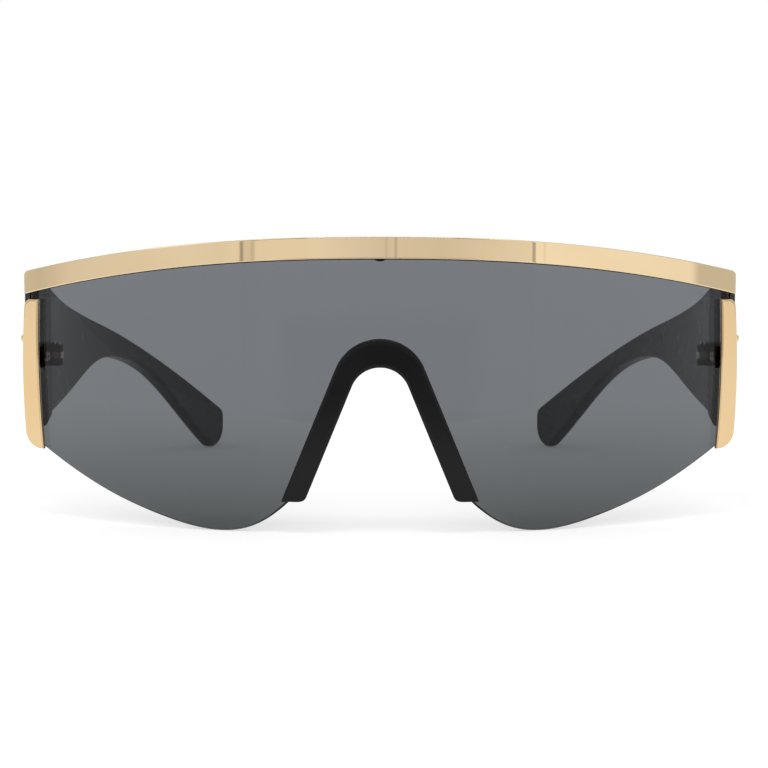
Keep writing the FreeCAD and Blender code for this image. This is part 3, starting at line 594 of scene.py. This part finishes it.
class SUNGLASSES_OT_side_trims(bpy.types.Operator):
    """Make the two gold plates on the lens ends."""
    bl_idname = "sunglasses.side_trims"
    bl_label = "Side trims"

    def execute(self, context):
        """Rows run from the lower to the upper end between two arcs, with the outer corners rounded; the face
        lies on a drum, with a wide quarter round along the inner edge and a small one along the rest."""
        settings = context.scene.sunglasses
        trim, lens, finish = settings.trim, settings.lens, settings.finish
        low = trim.bottom + quarter_steps(trim.bottom_corner, TRIM_BOTTOM_STEPS)
        high = trim.top - quarter_steps(trim.top_corner, TRIM_TOP_STEPS)[::-1]
        between = np.linspace(trim.bottom + trim.bottom_corner, trim.top - trim.top_corner, TRIM_ROWS)[1:-1]
        z = np.concatenate([low, between, high])
        heights = (trim.top, trim.waist, trim.bottom)
        inner = three_point_arc(z, heights, (trim.inner_top, trim.inner_waist, trim.inner_bottom))
        outer = three_point_arc(z, heights, (trim.outer_top, trim.outer_waist, trim.outer_bottom))
        under = np.clip(trim.bottom + trim.bottom_corner - z, 0.0, trim.bottom_corner)
        over = np.clip(z - trim.top + trim.top_corner, 0.0, trim.top_corner)
        outer = outer - round_off(trim.bottom_corner - under, trim.bottom_corner)
        outer = outer - round_off(trim.top_corner - over, trim.top_corner)
        width = (outer - inner)[:, None]
        wide = np.minimum(1.0, width / 2 / trim.inner_edge) * quarter_steps(trim.inner_edge, TRIM_INNER_STEPS)
        small = np.minimum(1.0, width / 4 / trim.edge) * quarter_steps(trim.edge, EDGE_STEPS)
        first, last = inner[:, None] + wide, outer[:, None] - small[:, ::-1]
        middle = first[:, -1:] + (last[:, :1] - first[:, -1:]) * even_steps(TRIM_COLUMNS)
        across = np.concatenate([first, middle, last], axis=1)
        upright = np.broadcast_to(z[:, None], across.shape)
        flat = np.stack([across, upright], axis=-1).reshape(-1, 2)
        inward = line_distance(flat, np.stack([inner, z], axis=-1)).reshape(across.shape)
        rim_drop = round_off(rim_distance(across, upright), trim.edge)
        drop = np.maximum(rim_drop, round_off(inward, trim.inner_edge))
        back = lens.radius + settings.bar.seat
        gold = gold_plate("trim_gold", finish.trim_gold, finish.trim_gold_warm, finish.gold_roughness)
        for hand, side in HANDS.items():
            front = on_drum(across, upright, back + trim.thickness - drop, lens.radius, side)
            rear = on_drum(across, upright, back, lens.radius, side)
            points, faces = plate(front, rear)
            add_piece("side_trim_gold_" + hand, points, faces, gold, "front",
                      ["side_trim_" + hand])
        return {"FINISHED"}


class SUNGLASSES_OT_nose_bridge(bpy.types.Operator):
    """Make the black bridge that grips the nose cut."""
    bl_idname = "sunglasses.nose_bridge"
    bl_label = "Nose bridge"

    def arches(self, bridge):
        """Matching points on the outer and inner U: an arch, and legs that spread from upright. The inner
        corner of a foot is a round."""
        lean = bridge.leg_angle
        share = np.linspace(0.0, 1.0, BRIDGE_LEG_STEPS)[1:, None]
        turn = np.linspace(0.0, np.pi / 2 - lean, BRIDGE_ARCH_STEPS)
        tuck = bridge.foot_round * math.tan((np.pi / 2 - lean) / 2)
        down = np.array([math.sin(lean), -math.cos(lean)])
        sides = []
        for radius, top in ((bridge.outer_radius, bridge.outer_top), (bridge.inner_radius, bridge.inner_top)):
            cap = np.stack([radius * np.sin(turn), top - radius + radius * np.cos(turn)], axis=-1)
            whole = (cap[-1, 1] - bridge.foot) / math.cos(lean)
            leg = cap[-1] + share * down * (whole - tuck)
            sides.append(np.concatenate([cap, leg]))
        outer, inner = sides
        ease = np.linspace(0.0, 1.0, BRIDGE_FOOT_STEPS)[1:, None]
        outer_end = outer[-1] + ease * down * tuck
        corner = inner[-1] + down * tuck
        flat = np.array([tuck, 0.0])
        inner_end = (1 - ease) ** 2 * inner[-1] + 2 * (1 - ease) * ease * corner + ease ** 2 * (corner + flat)
        outer, inner = np.concatenate([outer, outer_end]), np.concatenate([inner, inner_end])
        flip = np.array([-1.0, 1.0])
        return np.concatenate([outer[:0:-1] * flip, outer]), np.concatenate([inner[:0:-1] * flip, inner])

    def execute(self, context):
        """A closed profile carried along the U: a lip on the lens with rounded front edges, a web through the
        nose cut and a saddle behind. Its places run from the outer U to the inner one, and its depths from
        drums to a plane."""
        settings = context.scene.sunglasses
        bridge, lens, bar, finish = settings.bridge, settings.lens, settings.bar, settings.finish
        outer, inner = self.arches(bridge)
        turn = np.linspace(0.0, np.pi / 2, BRIDGE_ROUND_STEPS)
        lip, back = bridge.lip_edge, bridge.back_edge
        front = lens.radius + bridge.proud
        behind = lens.radius - lens.thickness - bar.seat
        seat = lens.radius + bar.seat
        plane = LENS_APEX + lens.thickness + bridge.reach
        even = np.linspace(0.0, 1.0, BRIDGE_FLAT_STEPS)
        stations = []

        def station(offset, share, radius, depth=None, blend=0.0):
            """One point of the profile: its place across the band, and its drum, its plane and the blend."""
            stations.append((offset, share, radius, plane if depth is None else depth, blend))

        station(0.0, 0.0, seat)
        for angle in turn:
            station(lip * (1 - math.cos(angle)), 0.0, front - lip + lip * math.sin(angle))
        for part in even[1:-1]:
            station(lip * (1 - 2 * part), part, front)
        for angle in turn[::-1]:
            station(-lip * (1 - math.cos(angle)), 1.0, front - lip + lip * math.sin(angle))
        for part in even[1:-1]:
            station(0.0, 1.0, front - lip, plane - back, part)
        for angle in turn:
            station(-back * (1 - math.cos(angle)), 1.0, behind, plane - back + back * math.sin(angle), 1.0)
        for part in even[1:-1]:
            station(-back + part * (bridge.back_step + 2 * back), 1.0 - part, behind, plane, 1.0)
        for angle in turn[::-1]:
            station(bridge.back_step + back * (1 - math.cos(angle)), 0.0, behind,
                    plane - back + back * math.sin(angle), 1.0)
        station(bridge.back_step, 0.0, behind)
        station(bridge.groove, 0.0, behind)
        station(bridge.groove, 0.0, seat)
        offset, share, radius, depth, blend = np.array(stations).T
        width = np.linalg.norm(inner - outer, axis=-1)
        step = (inner - outer) / width[:, None]
        place = outer[:, None, :] + step[:, None, :] * (offset + share * width[:, None])[..., None]
        x, z = place[..., 0], place[..., 1]
        y = (1 - blend) * drum_depth(x, radius, lens.radius) + blend * depth
        points = np.stack([x, y, z], axis=-1)
        rows, columns = x.shape
        faces = grid_faces(rows, columns, wrap=True).tolist()
        faces.append(list(range(columns)))
        faces.append(list(range((rows - 1) * columns, rows * columns)))
        black = black_plastic("bridge_black", finish.rubber, finish.rubber_roughness, finish.rubber_gloss)
        add_piece("nose_bridge_black", points.reshape(-1, 3), faces, black, "front",
                  ["nose_bridge"])
        return {"FINISHED"}


class SUNGLASSES_OT_frame_finishes(bpy.types.Operator):
    """Give the frame, temples, studs and hinges their finishes."""
    bl_idname = "sunglasses.frame_finishes"
    bl_label = "Frame, temples and hinges"

    def execute(self, context):
        finish = context.scene.sunglasses.finish
        black = black_plastic("black_plastic", finish.black, finish.black_roughness, finish.black_gloss)
        gold = gold_plate("trim_gold", finish.trim_gold, finish.trim_gold_warm, finish.gold_roughness)
        dark_steel = plated_steel("dark_steel", finish.dark_steel, finish.steel_roughness)
        steel = plated_steel("plated_steel", finish.steel, finish.steel_roughness)
        dress(["front_frame"] + pairs("temple"), black)
        dress(pairs("temple_stud"), gold)
        dress(pairs("hinge_front_leaf"), dark_steel)
        dress(["lens_screws"] + pairs("trim_screws", "front_leaf_rivets", "hinge_screw", "hinge_temple_leaf",
                                      "temple_leaf_rivets", "temple_core"), steel)
        return {"FINISHED"}


class SUNGLASSES_OT_stage(bpy.types.Operator):
    """Make the floor, the light and the camera."""
    bl_idname = "sunglasses.stage"
    bl_label = "Stage"

    def rays(self, tree):
        """1 for rays from the camera or through the lens, and 1 for rays from gloss."""
        path = tree.nodes.new("ShaderNodeLightPath")
        camera, through = path.outputs["Is Camera Ray"], path.outputs["Is Transmission Ray"]
        return calculate(tree, "MAXIMUM", camera, through), path.outputs["Is Glossy Ray"]

    def floor(self, studio):
        """A flat sheet under the glasses. Its own light makes up what the even light lacks of white."""
        x, y = np.meshgrid(np.linspace(*FLOOR_X), np.linspace(*FLOOR_Y), indexing="ij")
        points = np.stack([x, y, np.full_like(x, -FLOOR_SINK)], axis=-1).reshape(-1, 3)
        mesh = bpy.data.meshes.new("floor")
        mesh.from_pydata(points.tolist(), [], grid_faces(*x.shape)[:, ::-1].tolist())
        material = bpy.data.materials.new("floor_pale")
        material.use_nodes = True
        tree = material.node_tree
        tree.nodes.clear()
        paint = tree.nodes.new("ShaderNodeBsdfDiffuse")
        paint.inputs["Color"].default_value = (*studio.floor, 1.0)
        seen = calculate(tree, "MAXIMUM", *self.rays(tree))
        missing = calculate(tree, "MULTIPLY", seen, 1.0 - studio.ambient * studio.floor[0])
        glow = tree.nodes.new("ShaderNodeEmission")
        tree.links.new(missing, glow.inputs["Strength"])
        both = tree.nodes.new("ShaderNodeAddShader")
        out = tree.nodes.new("ShaderNodeOutputMaterial")
        tree.links.new(paint.outputs[0], both.inputs[0])
        tree.links.new(glow.outputs[0], both.inputs[1])
        tree.links.new(both.outputs[0], out.inputs["Surface"])
        mesh.materials.append(material)
        piece = bpy.data.objects.new("floor", mesh)
        bpy.context.scene.collection.objects.link(piece)

    def darken(self, tree, light, where, darkness):
        """A level of light, less a share of it where a value is 1."""
        dark = calculate(tree, "MULTIPLY", where, darkness)
        return calculate(tree, "MULTIPLY", calculate(tree, "SUBTRACT", 1.0, dark), light)

    def room(self, tree):
        """What gloss sees: panels whose tone follows the turn from the front, thin dark gaps between them,
        and two wide dark patches, one low in front and one overhead."""
        place = tree.nodes.new("ShaderNodeTexCoord")
        split = tree.nodes.new("ShaderNodeSeparateXYZ")
        tree.links.new(place.outputs["Generated"], split.inputs["Vector"])
        forward = calculate(tree, "MULTIPLY", split.outputs["Y"], -1.0)
        turn = calculate(tree, "DEGREES", calculate(tree, "ARCTAN2", split.outputs["X"], forward))
        share = map_range(tree, turn, (-PANEL_REACH, PANEL_REACH))
        stops = [((angle + PANEL_REACH) / (2 * PANEL_REACH), [tone] * 3) for angle, tone in PANELS]
        light = 1.0
        for middle, reach, darkness in GAPS:
            light = self.darken(tree, light, near(tree, turn, middle, reach, GAP_RIM), darkness)
        for (middle, reach), (centre, tall), darkness in PATCHES:
            sideways = near(tree, turn, middle, reach, PATCH_TURN_RIM)
            upright = near(tree, split.outputs["Z"], centre, tall, PATCH_HEIGHT_RIM)
            light = self.darken(tree, light, calculate(tree, "MULTIPLY", sideways, upright), darkness)
        around = tree.nodes.new("ShaderNodeBackground")
        tree.links.new(ramp(tree, share, stops), around.inputs["Color"])
        tree.links.new(light, around.inputs["Strength"])
        return around

    def sky(self, studio):
        """Even white light from all sides, and for gloss the room instead."""
        world = bpy.data.worlds.new("studio")
        bpy.context.scene.world = world
        world.use_nodes = True
        tree = world.node_tree
        tree.nodes.clear()
        direct, gloss = self.rays(tree)
        even = tree.nodes.new("ShaderNodeBackground")
        even.inputs["Color"].default_value = (1.0, 1.0, 1.0, 1.0)
        tree.links.new(map_range(tree, direct, (0.0, 1.0), (studio.ambient, 1.0)), even.inputs["Strength"])
        mix = tree.nodes.new("ShaderNodeMixShader")
        tree.links.new(gloss, mix.inputs[0])
        tree.links.new(even.outputs[0], mix.inputs[1])
        tree.links.new(self.room(tree).outputs[0], mix.inputs[2])
        out = tree.nodes.new("ShaderNodeOutputWorld")
        tree.links.new(mix.outputs[0], out.inputs["Surface"])

    def lamp(self, name, place, aim, size, power, gloss):
        """A soft rectangular lamp that looks from a place to an aim, and the share of it that gloss shows."""
        data = bpy.data.lights.new(name, "AREA")
        data.specular_factor = gloss
        data.shape = "RECTANGLE"
        data.size, data.size_y = size
        data.energy = power
        lamp = bpy.data.objects.new(name, data)
        lamp.location = place
        lamp.rotation_euler = (Vector(aim) - Vector(place)).to_track_quat("-Z", "Y").to_euler()
        bpy.context.scene.collection.objects.link(lamp)

    def execute(self, context):
        studio = context.scene.sunglasses.studio
        self.floor(studio)
        self.sky(studio)
        for name, lamp in LAMPS.items():
            self.lamp(name, **lamp)
        data = bpy.data.cameras.new("camera")
        data.lens = studio.focal
        data.sensor_width = SENSOR_WIDTH
        data.shift_x = studio.shift
        data.clip_start, data.clip_end = CLIP_START, CLIP_END
        camera = bpy.data.objects.new("camera", data)
        camera.location = (0.0, LENS_APEX - studio.distance, studio.height)
        camera.rotation_euler = (math.pi / 2 - studio.pitch, 0.0, 0.0)
        context.scene.collection.objects.link(camera)
        context.scene.camera = camera
        context.scene.view_settings.view_transform = "Standard"
        return {"FINISHED"}


class SUNGLASSES_PT_panel(bpy.types.Panel):
    """Lists the settings and the makers of the pieces."""
    bl_label = "Shield sunglasses"
    bl_idname = "SUNGLASSES_PT_panel"
    bl_space_type = "VIEW_3D"
    bl_region_type = "UI"
    bl_category = "Sunglasses"

    def draw(self, context):
        settings = context.scene.sunglasses
        for operator in OPERATORS:
            self.layout.operator(operator.bl_idname)
        groups = (settings.lens, settings.bar, settings.trim, settings.bridge, settings.finish,
                  settings.studio)
        for group in groups:
            box = self.layout.box()
            for name in group.__annotations__:
                box.prop(group, name)


OPERATORS = (SUNGLASSES_OT_brow_bar, SUNGLASSES_OT_lens, SUNGLASSES_OT_side_trims, SUNGLASSES_OT_nose_bridge,
             SUNGLASSES_OT_frame_finishes, SUNGLASSES_OT_stage)
CLASSES = (LensSizes, BarSizes, TrimSizes, BridgeSizes, Finishes, Studio, Sunglasses) + OPERATORS + (
    SUNGLASSES_PT_panel,)


def register():
    for item in CLASSES:
        bpy.utils.register_class(item)
    bpy.types.Scene.sunglasses = PointerProperty(type=Sunglasses)


def unregister():
    del bpy.types.Scene.sunglasses
    for item in reversed(CLASSES):
        bpy.utils.unregister_class(item)


def main():
    register()
    bpy.ops.sunglasses.brow_bar()
    bpy.ops.sunglasses.lens()
    bpy.ops.sunglasses.side_trims()
    bpy.ops.sunglasses.nose_bridge()
    bpy.ops.sunglasses.frame_finishes()
    bpy.ops.sunglasses.stage()


if __name__ == "__main__":
    main()
